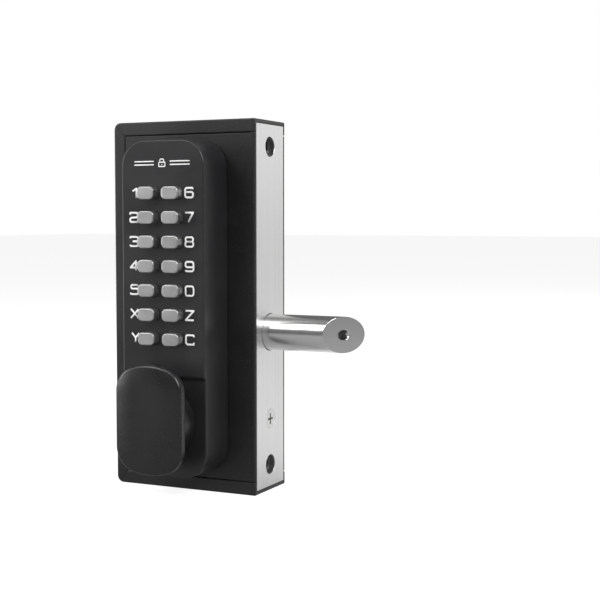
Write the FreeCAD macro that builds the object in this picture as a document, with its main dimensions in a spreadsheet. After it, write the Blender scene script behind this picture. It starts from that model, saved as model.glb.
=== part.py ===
import FreeCAD, Part
import math
import os
import re
import Sketcher
from FreeCAD import Placement, Rotation, Vector

# Double-sided push-button gate lock.
# Origin: on the gate-side face of the case, midway between the two fixing bolts.
# +X runs from the gate frame out along the latch bolt, +Z is up, and the front keypad faces -Y.
# Each keypad unit is drawn once, facing -Y from the case's mid-plane, and turned half round +Z for the back.

os.makedirs("parts", exist_ok=True)
doc = FreeCAD.newDocument("gate_lock")

# Driving dimensions, in millimetres and degrees
DIMENSIONS = {
    # case
    "case_width": 90,
    "case_depth": 37,
    "case_top": 103,
    "case_bottom": -103,
    "corner_radius": 4,
    "rim_width": 7.5,
    "ledge_width": 2,
    "cover_thickness": 2,
    "cover_gap": 0.3,
    "cut_past": 1,
    "edge_round": 1.1,
    "mitre_start": 1.6,
    "mitre_width": 0.3,
    "mitre_depth": 0.3,
    # faceplate and fixings
    "faceplate_thickness": 4,
    "faceplate_lip": 2.3,
    "faceplate_gap": 0.1,
    "fixing_spacing": 177,
    "fixing_bore": 8.5,
    "fixing_mouth": 11,
    "spacer_diameter": 11.6,
    "spacer_gap": 0.3,
    "screw_height": -62.7,
    "screw_thread": 5,
    "screw_head": 10.8,
    "screw_length": 11,
    "screw_clearance": 0.5,
    "screw_set_in": 0.1,
    "recess_length": 6,
    "recess_width": 1.2,
    "recess_depth": 1.6,
    "thread_gap": 0.1,
    # latch
    "bolt_height": -14,
    "bolt_diameter": 20,
    "bolt_end": 134.5,
    "bolt_start": 66,
    "bolt_bevel": 39.5,
    "bolt_bore": 5.5,
    "bolt_round": 0.4,
    "bolt_hole_gap": 0.25,
    "spigot_diameter": 12,
    "spigot_length": 8,
    "end_gap": 0.2,
    "adjuster_diameter": 4.9,
    "adjuster_start": 52,
    "adjuster_end": 127.5,
    "adjuster_socket": 2.7,
    "adjuster_socket_depth": 3,
    "adjuster_chamfer": 0.3,
    "block_start": 54,
    "block_half": 11,
    "slide_thickness": 4,
    "slot_width": 7.2,
    "prong_width": 5,
    "slot_high": -38,
    "tail_low": -49.4,
    "tail_high": -24.5,
    "guide_start": 74,
    "guide_half": 14,
    "guide_plate": 4,
    "guide_low": -71,
    "guide_high": 2,
    "guide_block_low": -28,
    "running_gap": 0.05,
    "seat_gap": 0.02,
    "spring_start": 10.2,
    "spring_gap": 0.4,
    "spring_turns": 9,
    "spring_radius": 6,
    "spring_wire": 1.2,
    # retractor
    "spindle_height": -61,
    "lever_radius": 18,
    "lever_start_angle": 37,
    "lever_hub": 10,
    "lever_pin": 6,
    "arm_width": 8,
    "arm_thickness": 4,
    "arm_corner": 3.9,
    "pin_overrun": 0.6,
    "hub_half": 5,
    "dog_slot": 4,
    "dog_depth": 3.2,
    # keypad unit
    "keypad_centre": 47.7,
    "housing_width": 51.2,
    "housing_low": -91,
    "housing_high": 91,
    "housing_corner": 14,
    "housing_base": 19.3,
    "housing_face": 44.7,
    "housing_wall": 3,
    "face_round": 1.9,
    "step_depth": 1.8,
    "step_high": -33.1,
    "step_low": -36.8,
    "step_round": 1.5,
    "cavity_end": 39.9,
    "ledge_end": 34,
    "ledge_inset": 2.2,
    "post_diameter": 9,
    "post_across": 17.5,
    "post_high": 80.5,
    "post_low": -80.5,
    "housing_screw": 4,
    "pan_diameter": 7.6,
    "pan_height": 2.4,
    "pan_slot_length": 4.8,
    "pan_slot_width": 1,
    "pan_slot_depth": 1.2,
    "shank_length": 11,
    "tap_depth": 12,
    "gasket_inset": 0.5,
    "gasket_width": 4,
    # push buttons
    "column_offset": 7.55,
    "first_row": 62.6,
    "row_pitch": 13.05,
    "button_width": 10.3,
    "button_height": 6.9,
    "button_corner": 2.6,
    "button_front": 50.2,
    "button_round": 0.7,
    "button_gap": 0.15,
    "collar_width": 12.4,
    "collar_height": 9,
    "collar_front": 39.8,
    "collar_back": 38.3,
    "stem_diameter": 4,
    "stem_end": 24,
    "code_plate_front": 33.9,
    "code_plate_back": 31,
    "code_plate_width": 44.6,
    "code_plate_low": -25,
    "code_plate_high": 72,
    "stem_hole": 4.6,
    "button_spring_radius": 2.75,
    "button_spring_wire": 0.5,
    "button_spring_turns": 2.5,
    "button_spring_gap": 0.05,
    # knob
    "spindle_diameter": 10,
    "spindle_outer": 54,
    "spindle_inner": 0.3,
    "bush_diameter": 16,
    "bush_flange": 20,
    "bush_flange_back": 38,
    "bush_end": 32,
    "spindle_hole": 14,
    "boss_diameter": 38.4,
    "boss_taper": 8,
    "boss_start": 43.3,
    "grip_start": 55.9,
    "grip_end": 62.2,
    "grip_half_width": 20.4,
    "grip_half_height": 29.8,
    "grip_lift": 3.1,
    "grip_corner": 14,
    "grip_end_radius": 36,
    "grip_round": 0.9,
    "sleeve_diameter": 18,
    "sleeve_length": 5,
    "dog_width": 3.6,
    "dog_length": 3,
    "dog_inset": 0.5,
    "engaged_sleeve": 5.4,
    "free_sleeve": 9.2,
    "knob_spring_radius": 7,
    "knob_spring_wire": 1.2,
    "knob_spring_start": 20,
    "knob_spring_height": 8,
    "knob_spring_turns": 5,
}

sheet = doc.addObject("Spreadsheet::Sheet", "dims")
for row, (alias, amount) in enumerate(DIMENSIONS.items(), start=1):
    sheet.set(f"A{row}", alias)
    sheet.set(f"B{row}", str(amount))
    sheet.setAlias(f"B{row}", alias)
doc.recompute()

nodes = []


# ---------------------------------------------------------------- sheet and sketch helpers
def bound(text):
    """Write a dimension formula with each alias read from the sheet."""
    return re.sub(r"[a-z_]{4,}", lambda found: "dims." + found.group(0), text)


def num(text):
    """Value of a dimension formula."""
    return float(sheet.evalExpression(bound(text)))


def new_body(label, several=False):
    body = doc.addObject("PartDesign::Body", label)
    body.Label = label
    body.AllowCompound = several
    nodes.append(body)
    return body


def sketch_on(body, role, offset="0"):
    """Sketch on one of the body's own origin planes, moved along its normal."""
    sketch = body.newObject("Sketcher::SketchObject", body.Label + "_sketch")
    plane = [item for item in body.Origin.OriginFeatures if item.Role == role][0]
    sketch.AttachmentSupport = [(plane, "")]
    sketch.MapMode = "FlatFace"
    sketch.setExpression("AttachmentOffset.Base.z", bound(offset))
    return sketch


def hold(sketch, kind, text, *geometry):
    """Add one dimension to a sketch and bind it to the sheet."""
    index = sketch.addConstraint(Sketcher.Constraint(kind, *geometry, num(text)))
    sketch.setExpression(f"Constraints[{index}]", bound(text))


def hold_point(sketch, geometry, point, across, up):
    hold(sketch, "DistanceX", across, -1, 1, geometry, point)
    hold(sketch, "DistanceY", up, -1, 1, geometry, point)


def polygon(sketch, corners):
    """Closed outline through corners given as pairs of formulas."""
    first = sketch.GeometryCount
    points = [Vector(num(across), num(up), 0) for across, up in corners]
    count = len(points)
    for side in range(count):
        sketch.addGeometry(Part.LineSegment(points[side], points[(side + 1) % count]))
    for side in range(count):
        following = first + (side + 1) % count
        sketch.addConstraint(Sketcher.Constraint("Coincident", first + side, 2, following, 1))
    for side, (across, up) in enumerate(corners):
        hold_point(sketch, first + side, 1, across, up)


def rectangle(sketch, left, right, low, high):
    polygon(sketch, [(left, low), (right, low), (right, high), (left, high)])


def rounded_rectangle(sketch, left, right, low, high, radius):
    """Rectangle with four equal tangent corner arcs."""
    x0, x1, z0, z1, r = (num(text) for text in (left, right, low, high, radius))
    first = sketch.GeometryCount
    sides = [
        ((x0 + r, z0), (x1 - r, z0), (x1 - r, z0 + r), -90),
        ((x1, z0 + r), (x1, z1 - r), (x1 - r, z1 - r), 0),
        ((x1 - r, z1), (x0 + r, z1), (x0 + r, z1 - r), 90),
        ((x0, z1 - r), (x0, z0 + r), (x0 + r, z0 + r), 180),
    ]
    for start, end, centre, angle in sides:
        sketch.addGeometry(Part.LineSegment(Vector(*start, 0), Vector(*end, 0)))
        circle = Part.Circle(Vector(*centre, 0), Vector(0, 0, 1), r)
        turn = math.radians(angle)
        sketch.addGeometry(Part.ArcOfCircle(circle, turn, turn + math.pi / 2))
    for side in range(4):
        line = first + 2 * side
        following = first + (2 * side + 2) % 8
        sketch.addConstraint(Sketcher.Constraint("Tangent", line, 2, line + 1, 1))
        sketch.addConstraint(Sketcher.Constraint("Tangent", line + 1, 2, following, 1))
        sketch.addConstraint(Sketcher.Constraint("Vertical" if side % 2 else "Horizontal", line))
        if side:
            sketch.addConstraint(Sketcher.Constraint("Equal", first + 1, line + 1))
    hold(sketch, "Radius", radius, first + 1)
    for line, kind, text in (
        (0, "DistanceY", low), (2, "DistanceX", right), (4, "DistanceY", high), (6, "DistanceX", left),
    ):
        hold(sketch, kind, text, -1, 1, first + line, 1)


def circle(sketch, across, up, diameter):
    centre = Vector(num(across), num(up), 0)
    index = sketch.addGeometry(Part.Circle(centre, Vector(0, 0, 1), num(diameter) / 2))
    hold(sketch, "Diameter", diameter, index)
    hold_point(sketch, index, 3, across, up)


# ---------------------------------------------------------------- feature helpers
def pad(body, sketch, length, reverse=False, both_ways=False):
    feature = body.newObject("PartDesign::Pad", body.Label + "_pad")
    feature.Profile = sketch
    feature.setExpression("Length", bound(length))
    feature.Reversed = reverse
    feature.SideType = "Symmetric" if both_ways else "One side"
    doc.recompute()
    return feature


def pocket(body, sketch, length=None, reverse=False):
    """Cut a sketch into the body, right through it where no length is given, and check that it cut."""
    before = body.Shape.Volume
    feature = body.newObject("PartDesign::Pocket", body.Label + "_pocket")
    feature.Profile = sketch
    feature.Reversed = reverse
    if length is None:
        feature.Type = "ThroughAll"
    else:
        feature.setExpression("Length", bound(length))
    doc.recompute()
    if body.Shape.Volume > before - 1e-4:
        raise RuntimeError(f"{feature.Label} cuts nothing")
    return feature


def edges_where(shape, test):
    return [f"Edge{index}" for index, edge in enumerate(shape.Edges, start=1) if test(edge)]


def round_edges(body, radius, test, kind="Fillet"):
    """Fillet or chamfer the edges of the body's tip that pass a test."""
    base = body.Tip
    names = edges_where(base.Shape, test)
    if not names:
        raise RuntimeError(f"{body.Label}: no edges to round")
    feature = body.newObject("PartDesign::" + kind, body.Label + "_" + kind.lower())
    feature.Base = (base, names)
    feature.setExpression("Radius" if kind == "Fillet" else "Size", bound(radius))
    doc.recompute()
    return feature


def spread(edge, axis):
    """Lowest and highest coordinate of an edge along one axis."""
    box = edge.BoundBox
    return {"x": (box.XMin, box.XMax), "y": (box.YMin, box.YMax), "z": (box.ZMin, box.ZMax)}[axis]


def lies_at(edge, axis, value):
    low, high = spread(edge, axis)
    return abs(low - value) < 1e-4 and abs(high - value) < 1e-4


def put(body, side="front", across="0", depth="0", up="0"):
    """Place a piece that is drawn facing -Y, measured from the keypad's centre line."""
    sign = "" if side == "front" else "-"
    turn = 0 if side == "front" else 180
    body.Placement = Placement(Vector(0, 0, 0), Rotation(Vector(0, 0, 1), turn))
    body.setExpression("Placement.Base.x", bound(f"keypad_centre + {sign}({across})"))
    body.setExpression("Placement.Base.y", bound(f"{sign}({depth})"))
    body.setExpression("Placement.Base.z", bound(up))


def coil(radius, wire, height, turns):
    """Round-wire helical spring standing on z = 0, as a solid swept along a helix made turn by turn."""
    rise = height - wire
    helix = Part.makeLongHelix(rise / turns, rise, radius)
    lean = math.atan2(rise / turns, 2 * math.pi * radius)
    along = Vector(0, math.cos(lean), math.sin(lean))
    ring = Part.Wire(Part.makeCircle(wire / 2, Vector(radius, 0, 0), along))
    body = Part.Wire(helix.Edges).makePipeShell([ring], True, True)
    body.translate(Vector(0, 0, wire / 2))
    return body


def shape_node(label, shape, placement):
    """Node whose shape is set by Part functions."""
    feature = doc.addObject("Part::Feature", label)
    feature.Label = label
    feature.Shape = shape
    feature.Placement = placement
    nodes.append(feature)


# ---------------------------------------------------------------- case
def case_frame():
    """Channel of mitred bar: top, gate side and bottom, rebated for both covers and the faceplate."""
    body = new_body("case_frame")
    outline = sketch_on(body, "XZ_Plane")
    rectangle(outline, "0", "case_width", "case_bottom", "case_top")
    pad(body, outline, "case_depth", both_ways=True)
    inner = "rim_width + ledge_width"
    opening = sketch_on(body, "XZ_Plane", "case_depth / 2")
    rectangle(opening, inner, "case_width + cut_past", f"case_bottom + {inner}", f"case_top - ({inner})")
    pocket(body, opening)
    for offset, reverse in (("case_depth / 2", False), ("-case_depth / 2", True)):
        rebate = sketch_on(body, "XZ_Plane", offset)
        low, high = "case_bottom + rim_width", "case_top - rim_width"
        rectangle(rebate, "rim_width", "case_width + cut_past", low, high)
        pocket(body, rebate, "cover_thickness", reverse)
    seat = sketch_on(body, "YZ_Plane", "case_width")
    side = "case_depth / 2 - cover_thickness"
    rectangle(seat, f"-({side})", side, "case_bottom + faceplate_lip", "case_top - faceplate_lip")
    pocket(body, seat, "faceplate_thickness")
    bores = sketch_on(body, "YZ_Plane", "case_width")
    for sign in ("", "-"):
        circle(bores, "0", f"{sign}fixing_spacing / 2", "fixing_bore")
    pocket(body, bores)
    reliefs = sketch_on(body, "YZ_Plane", "case_width")
    for sign in ("", "-"):
        circle(reliefs, "0", f"{sign}fixing_spacing / 2", "spacer_diameter + 2 * spacer_gap")
    pocket(body, reliefs, f"case_width - ({inner})")
    whole = num("case_depth") - 1
    round_edges(body, "corner_radius", lambda edge: lies_at(edge, "x", 0) and edge.BoundBox.YLength > whole)
    face = num("case_depth / 2")
    round_edges(
        body,
        "edge_round / 2",
        lambda edge: (lies_at(edge, "y", face) or lies_at(edge, "y", -face)) and outer_edge(edge),
    )
    for offset, reverse in (("case_depth / 2", False), ("-case_depth / 2", True)):
        mitre = sketch_on(body, "XZ_Plane", offset)
        for height, way in (("case_top", "-"), ("case_bottom", "+")):
            polygon(mitre, [
                ("mitre_start", f"{height} {way} (mitre_start + mitre_width / 2)"),
                ("mitre_start", f"{height} {way} (mitre_start - mitre_width / 2)"),
                ("rim_width", f"{height} {way} (rim_width - mitre_width / 2)"),
                ("rim_width", f"{height} {way} (rim_width + mitre_width / 2)"),
            ])
        pocket(body, mitre, "mitre_depth", reverse)


def outer_edge(edge):
    """True for the outline of the case's front or back face."""
    box = edge.BoundBox
    at_top = box.ZMin > num("case_top - corner_radius") - 1e-4
    at_bottom = box.ZMax < num("case_bottom + corner_radius") + 1e-4
    at_gate = box.XMax < num("corner_radius") + 1e-4
    return at_top or at_bottom or at_gate


def cover_plate(side):
    """Flat cover let in flush with the frame, cut away behind the code plate and the spindle."""
    body = new_body(side + "_cover_plate")
    low = "case_bottom + rim_width + cover_gap"
    high = "case_top - rim_width - cover_gap"
    outline = sketch_on(body, "XZ_Plane", "case_depth / 2 - cover_thickness")
    gate_edge = "rim_width + cover_gap - keypad_centre"
    bolt_edge = "case_width - keypad_centre"
    if side == "front":
        rectangle(outline, gate_edge, bolt_edge, low, high)
    else:
        rectangle(outline, f"-({bolt_edge})", f"-({gate_edge})", low, high)
    circle(outline, "0", "spindle_height", "spindle_hole")
    for across in ("-post_across", "post_across"):
        for up in ("post_low", "post_high"):
            circle(outline, across, up, "housing_screw + screw_clearance")
    pad(body, outline, "cover_thickness")
    outer = num("-case_depth / 2")
    edge_x = num(bolt_edge) * (1 if side == "front" else -1)
    round_edges(body, "edge_round", lambda edge: lies_at(edge, "y", outer) and lies_at(edge, "x", edge_x))
    put(body, side)


def faceplate():
    """Stainless plate let into the open side of the case, with the latch bolt hole and the fixing holes."""
    body = new_body("faceplate")
    side = "case_depth / 2 - cover_thickness - faceplate_gap / 2"
    outline = sketch_on(body, "YZ_Plane", "case_width - faceplate_thickness")
    low = "case_bottom + faceplate_lip + faceplate_gap"
    high = "case_top - faceplate_lip - faceplate_gap"
    rectangle(outline, f"-({side})", side, low, high)
    circle(outline, "0", "bolt_height", "bolt_diameter + 2 * bolt_hole_gap")
    circle(outline, "0", "screw_height", "screw_thread + screw_clearance")
    for sign in ("", "-"):
        circle(outline, "0", f"{sign}fixing_spacing / 2", "fixing_mouth")
    pad(body, outline, "faceplate_thickness")
    outer = num("case_width")
    screw_bore = num("(screw_thread + screw_clearance) / 2")
    round_edges(
        body,
        "(screw_head - screw_thread) / 2",
        lambda edge: lies_at(edge, "x", outer) and is_circle(edge, screw_bore),
        "Chamfer",
    )


def is_circle(edge, radius):
    return isinstance(edge.Curve, Part.Circle) and abs(edge.Curve.Radius - radius) < 1e-4


def faceplate_screw():
    """Countersunk cross-recess screw that ties the faceplate to the guide block."""
    body = new_body("faceplate_screw")
    profile = sketch_on(body, "XZ_Plane")
    head = "screw_head / 2 - screw_set_in"
    shank = "screw_thread / 2"
    depth = f"({head} - {shank})"
    polygon(profile, [
        ("0", "0"),
        ("-screw_length", "0"),
        ("-screw_length", shank),
        (f"-{depth}", shank),
        ("0", head),
    ])
    turned = body.newObject("PartDesign::Revolution", "faceplate_screw_turned")
    turned.Profile = profile
    turned.ReferenceAxis = (profile, ["H_Axis"])
    turned.Angle = 360
    doc.recompute()
    long_half, short_half = "recess_length / 2", "recess_width / 2"
    for wide, tall in ((long_half, short_half), (short_half, long_half)):
        recess = sketch_on(body, "YZ_Plane")
        rectangle(recess, f"-{wide}", wide, f"-{tall}", tall)
        pocket(body, recess, "recess_depth")
    body.setExpression("Placement.Base.x", bound("case_width - screw_set_in"))
    body.setExpression("Placement.Base.z", bound("screw_height"))


def fixing_spacers():
    """Two tubes between the gate-side bar and the faceplate that carry the fixing bolts."""
    body = new_body("fixing_spacers", several=True)
    start = "rim_width + ledge_width"
    section = sketch_on(body, "YZ_Plane", start)
    for sign in ("", "-"):
        circle(section, "0", f"{sign}fixing_spacing / 2", "spacer_diameter")
        circle(section, "0", f"{sign}fixing_spacing / 2", "fixing_bore")
    pad(body, section, f"case_width - faceplate_thickness - ({start})")


# ---------------------------------------------------------------- latch
def latch_guide_block():
    """Block behind the faceplate that the latch bolt slides in, with a tapped foot for the screw."""
    body = new_body("latch_guide_block")
    inner = "case_width - faceplate_thickness"
    plate = sketch_on(body, "YZ_Plane", inner)
    rectangle(plate, "-guide_half", "guide_half", "guide_low", "guide_high")
    pad(body, plate, "guide_plate", reverse=True)
    block = sketch_on(body, "YZ_Plane", inner)
    rectangle(block, "-guide_half", "guide_half", "guide_block_low", "guide_high")
    pad(body, block, f"{inner} - guide_start", reverse=True)
    bores = sketch_on(body, "YZ_Plane", inner)
    circle(bores, "0", "bolt_height", "bolt_diameter + 2 * running_gap")
    circle(bores, "0", "screw_height", "screw_thread + thread_gap")
    pocket(body, bores)


def latch_slide():
    """Carriage block for the bolt, with a forked tail that straddles the lever's pin."""
    body = new_body("latch_slide")
    block = sketch_on(body, "YZ_Plane", "bolt_start")
    rectangle(block, "-block_half", "block_half", "bolt_height - block_half", "bolt_height + block_half")
    pad(body, block, "bolt_start - block_start", reverse=True)
    tail = sketch_on(body, "XZ_Plane", "-slide_thickness")
    centre = "(keypad_centre + lever_radius * sin(lever_start_angle))"
    reach = "(slot_width / 2 + prong_width)"
    polygon(tail, [
        (f"{centre} - {reach}", "tail_low"),
        (f"{centre} - slot_width / 2", "tail_low"),
        (f"{centre} - slot_width / 2", "slot_high"),
        (f"{centre} + slot_width / 2", "slot_high"),
        (f"{centre} + slot_width / 2", "tail_low"),
        (f"{centre} + {reach}", "tail_low"),
        (f"{centre} + {reach}", "tail_high"),
        (f"{centre} - {reach}", "tail_high"),
    ])
    pad(body, tail, "slide_thickness")
    bores = sketch_on(body, "YZ_Plane", "bolt_start")
    circle(bores, "0", "bolt_height", "adjuster_diameter + thread_gap")
    pocket(body, bores)
    spigot = sketch_on(body, "YZ_Plane", "bolt_start")
    circle(spigot, "0", "bolt_height", "spigot_diameter + 2 * running_gap")
    pocket(body, spigot, "spigot_length + end_gap")


def latch_bolt():
    """Round bolt with a bevelled end, a spigot at its inner end and a bore for the adjusting screw."""
    body = new_body("latch_bolt")
    shank = sketch_on(body, "YZ_Plane", "bolt_start")
    circle(shank, "0", "bolt_height", "bolt_diameter")
    pad(body, shank, "bolt_end + bolt_diameter - bolt_start")
    spigot = sketch_on(body, "YZ_Plane", "bolt_start")
    circle(spigot, "0", "bolt_height", "spigot_diameter")
    pad(body, spigot, "spigot_length", reverse=True)
    bevel = sketch_on(body, "XY_Plane", "bolt_height + bolt_diameter")
    slope = "tan(bolt_bevel)"
    polygon(bevel, [
        (f"bolt_end - bolt_diameter * {slope}", "-bolt_diameter"),
        ("bolt_end + 3 * bolt_diameter", "-bolt_diameter"),
        ("bolt_end + 3 * bolt_diameter", "bolt_diameter"),
        (f"bolt_end + bolt_diameter * {slope}", "bolt_diameter"),
    ])
    pocket(body, bevel)
    bore = sketch_on(body, "YZ_Plane", "bolt_end + bolt_diameter")
    circle(bore, "0", "bolt_height", "bolt_bore")
    pocket(body, bore)
    guide = num("bolt_start") + 1
    wide = num("bolt_diameter") - 1
    round_edges(body, "bolt_round", lambda edge: spread(edge, "x")[0] > guide and edge.BoundBox.YLength > wide)


def latch_adjusting_screw():
    """Long socket screw inside the bolt, reached through the bolt's end, that sets its reach."""
    body = new_body("latch_adjusting_screw")
    section = sketch_on(body, "YZ_Plane", "adjuster_start")
    circle(section, "0", "bolt_height", "adjuster_diameter")
    pad(body, section, "adjuster_end - adjuster_start")
    socket = sketch_on(body, "YZ_Plane", "adjuster_end")
    circle(socket, "0", "bolt_height", "adjuster_socket")
    pocket(body, socket, "adjuster_socket_depth")
    end = num("adjuster_end")
    rim = num("adjuster_diameter / 2")
    round_edges(
        body, "adjuster_chamfer", lambda edge: lies_at(edge, "x", end) and is_circle(edge, rim), "Chamfer",
    )


def latch_spring():
    """Compression spring between the gate-side bar and the carriage block."""
    length = num("block_start - spring_start - spring_gap")
    shape = coil(num("spring_radius"), num("spring_wire"), length, num("spring_turns"))
    along_x = Rotation(Vector(0, 1, 0), 90)
    shape_node("latch_spring", shape, Placement(Vector(num("spring_start"), 0, num("bolt_height")), along_x))


def retractor_lever():
    """Hub carried on both spindle ends, with an arm whose pin works in the slide's slot."""
    body = new_body("retractor_lever")
    hub = sketch_on(body, "XZ_Plane", "-hub_half")
    circle(hub, "0", "0", "2 * lever_hub")
    pad(body, hub, "2 * hub_half")
    arm = sketch_on(body, "XZ_Plane", "hub_half - arm_thickness")
    reach = "(lever_radius + arm_width / 2)"
    rounded_rectangle(arm, "-arm_width / 2", "arm_width / 2", "-arm_width / 2", reach, "arm_corner")
    pad(body, arm, "arm_thickness")
    pin = sketch_on(body, "XZ_Plane", "-(slide_thickness + pin_overrun)")
    circle(pin, "0", "lever_radius", "lever_pin")
    pad(body, pin, "slide_thickness + pin_overrun + hub_half - arm_thickness")
    bore = sketch_on(body, "XZ_Plane", "hub_half")
    circle(bore, "0", "0", "spindle_diameter + 2 * running_gap")
    pocket(body, bore)
    for offset, reverse in (("hub_half", False), ("-hub_half", True)):
        slot = sketch_on(body, "XZ_Plane", offset)
        reach = "(lever_hub + cut_past)"
        rectangle(slot, f"-{reach}", reach, "-dog_slot / 2", "dog_slot / 2")
        pocket(body, slot, "dog_depth", reverse)
    body.Placement = Placement(Vector(0, 0, 0), Rotation(Vector(0, 1, 0), num("lever_start_angle")))
    body.setExpression("Placement.Base.x", bound("keypad_centre"))
    body.setExpression("Placement.Base.z", bound("spindle_height"))


# ---------------------------------------------------------------- keypad unit, drawn facing -Y
LEFT_LEGENDS = ["1", "2", "3", "4", "5", "x", "y"]
RIGHT_LEGENDS = ["6", "7", "8", "9", "0", "z", "c"]


def button_places():
    """Legend, across and up formulas of each button, row by row."""
    for row, (left, right) in enumerate(zip(LEFT_LEGENDS, RIGHT_LEGENDS)):
        up = f"first_row - {row} * row_pitch"
        yield left, "-column_offset", up
        yield right, "column_offset", up


def post_places():
    for across in ("-post_across", "post_across"):
        for up in ("post_low", "post_high"):
            yield across, up


def keypad_housing(side):
    """Cast housing: stepped face, cavity with a ledge for the code plate, and four screw posts."""
    body = new_body(side + "_keypad_housing")
    half = "housing_width / 2"
    outline = sketch_on(body, "XZ_Plane", "housing_base")
    rounded_rectangle(outline, f"-{half}", half, "housing_low", "housing_high", "housing_corner")
    pad(body, outline, "housing_face - housing_base")
    step = sketch_on(body, "YZ_Plane", "housing_width")
    polygon(step, [
        ("-(housing_face + cut_past)", "housing_low - cut_past"),
        ("-(housing_face - step_depth)", "housing_low - cut_past"),
        ("-(housing_face - step_depth)", "step_low"),
        ("-housing_face", "step_high"),
        ("-(housing_face + cut_past)", "step_high"),
    ])
    pocket(body, step)
    turns = (num("step_low"), num("step_high"))
    round_edges(body, "step_round", lambda edge: any(lies_at(edge, "z", turn) for turn in turns))
    round_edges(body, "face_round", face_outline)
    cavity = sketch_on(body, "XZ_Plane", "housing_base")
    inner = f"{half} - housing_wall"
    rounded_rectangle(
        cavity, f"-({inner})", inner, "housing_low + housing_wall", "housing_high - housing_wall",
        "housing_corner - housing_wall",
    )
    pocket(body, cavity, "ledge_end - housing_base", reverse=True)
    deep = sketch_on(body, "XZ_Plane", "housing_base")
    inner = f"{half} - housing_wall - ledge_inset"
    rounded_rectangle(
        deep, f"-({inner})", inner, "housing_low + housing_wall + ledge_inset",
        "housing_high - housing_wall - ledge_inset", "housing_corner - housing_wall - ledge_inset",
    )
    pocket(body, deep, "cavity_end - housing_base", reverse=True)
    posts = sketch_on(body, "XZ_Plane", "housing_base")
    for across, up in post_places():
        circle(posts, across, up, "post_diameter")
    pad(body, posts, "cavity_end - housing_base")
    taps = sketch_on(body, "XZ_Plane", "housing_base")
    for across, up in post_places():
        circle(taps, across, up, "housing_screw + thread_gap")
    pocket(body, taps, "tap_depth", reverse=True)
    holes = sketch_on(body, "XZ_Plane", "housing_face + cut_past")
    wide = "(button_width / 2 + button_gap)"
    tall = "(button_height / 2 + button_gap)"
    for _, across, up in button_places():
        left, right = f"{across} - {wide}", f"{across} + {wide}"
        rounded_rectangle(holes, left, right, f"{up} - {tall}", f"{up} + {tall}", "button_corner")
    circle(holes, "0", "spindle_height", "bush_diameter")
    pocket(body, holes)
    put(body, side)


def face_outline(edge):
    """True for the edges round the housing's stepped face."""
    low, high = spread(edge, "y")
    if high > -num("housing_face - step_depth") + 1e-3:
        return False
    box = edge.BoundBox
    across = box.XLength > num("housing_width") - 1
    below_top = box.ZMax < num("housing_high - housing_corner")
    above_bottom = box.ZMin > num("housing_low + housing_corner")
    return not (across and below_top and above_bottom)


def housing_gasket(side):
    """Thin rubber ring between the housing and the cover plate."""
    body = new_body(side + "_housing_gasket")
    section = sketch_on(body, "XZ_Plane", "case_depth / 2")
    for inset in ("gasket_inset", "gasket_inset + gasket_width"):
        edge = f"housing_width / 2 - ({inset})"
        rounded_rectangle(
            section, f"-({edge})", edge, f"housing_low + ({inset})", f"housing_high - ({inset})",
            f"housing_corner - ({inset})",
        )
    pad(body, section, "housing_base - case_depth / 2")
    put(body, side)


def housing_screws(side):
    """Four pan-head screws from inside the case through the cover into the housing's posts."""
    body = new_body(side + "_housing_screws", several=True)
    inside = "case_depth / 2 - cover_thickness"
    heads = sketch_on(body, "XZ_Plane", inside)
    shanks = sketch_on(body, "XZ_Plane", inside)
    slots = sketch_on(body, "XZ_Plane", f"{inside} - pan_height")
    for across, up in post_places():
        circle(heads, across, up, "pan_diameter")
        circle(shanks, across, up, "housing_screw")
        wide, tall = "pan_slot_length / 2", "pan_slot_width / 2"
        rectangle(slots, f"{across} - {wide}", f"{across} + {wide}", f"{up} - {tall}", f"{up} + {tall}")
    pad(body, heads, "pan_height", reverse=True)
    pad(body, shanks, "shank_length")
    pocket(body, slots, "pan_slot_depth", reverse=True)
    put(body, side)


def code_plate(side):
    """Plate on the housing's ledge whose holes guide the button stems."""
    body = new_body(side + "_code_plate")
    outline = sketch_on(body, "XZ_Plane", "code_plate_back")
    rectangle(outline, "-code_plate_width / 2", "code_plate_width / 2", "code_plate_low", "code_plate_high")
    for _, across, up in button_places():
        circle(outline, across, up, "stem_hole")
    pad(body, outline, "code_plate_front - code_plate_back")
    put(body, side)


def push_button(side, legend, across, up):
    """Rounded steel bar with a retaining collar behind the housing's face and a guided stem."""
    body = new_body(f"{side}_button_{legend}")
    bar = sketch_on(body, "XZ_Plane", "collar_front")
    wide = "button_width / 2"
    tall = "button_height / 2"
    rounded_rectangle(bar, f"-{wide}", wide, f"-{tall}", tall, "button_corner")
    pad(body, bar, "button_front - collar_front")
    front = num("-button_front")
    round_edges(body, "button_round", lambda edge: lies_at(edge, "y", front))
    collar = sketch_on(body, "XZ_Plane", "collar_front")
    wide = "collar_width / 2"
    tall = "collar_height / 2"
    rounded_rectangle(collar, f"-{wide}", wide, f"-{tall}", tall, "button_corner")
    pad(body, collar, "collar_front - collar_back", reverse=True)
    stem = sketch_on(body, "XZ_Plane", "collar_back")
    circle(stem, "0", "0", "stem_diameter")
    pad(body, stem, "collar_back - stem_end", reverse=True)
    put(body, side, across, "0", up)


def button_springs(side):
    """One coil spring on each stem, between the collar and the code plate."""
    height = num("collar_back - code_plate_front - 2 * button_spring_gap")
    one = coil(num("button_spring_radius"), num("button_spring_wire"), height, num("button_spring_turns"))
    one.rotate(Vector(0, 0, 0), Vector(1, 0, 0), 90)
    coils = []
    foot = num("-(code_plate_front + button_spring_gap)")
    for _, across, up in button_places():
        copy = one.copy()
        copy.translate(Vector(num(across), foot, num(up)))
        coils.append(copy)
    turn = Rotation(Vector(0, 0, 1), 0 if side == "front" else 180)
    place = Placement(Vector(num("keypad_centre"), 0, 0), turn)
    shape_node(side + "_button_springs", Part.makeCompound(coils), place)


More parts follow.
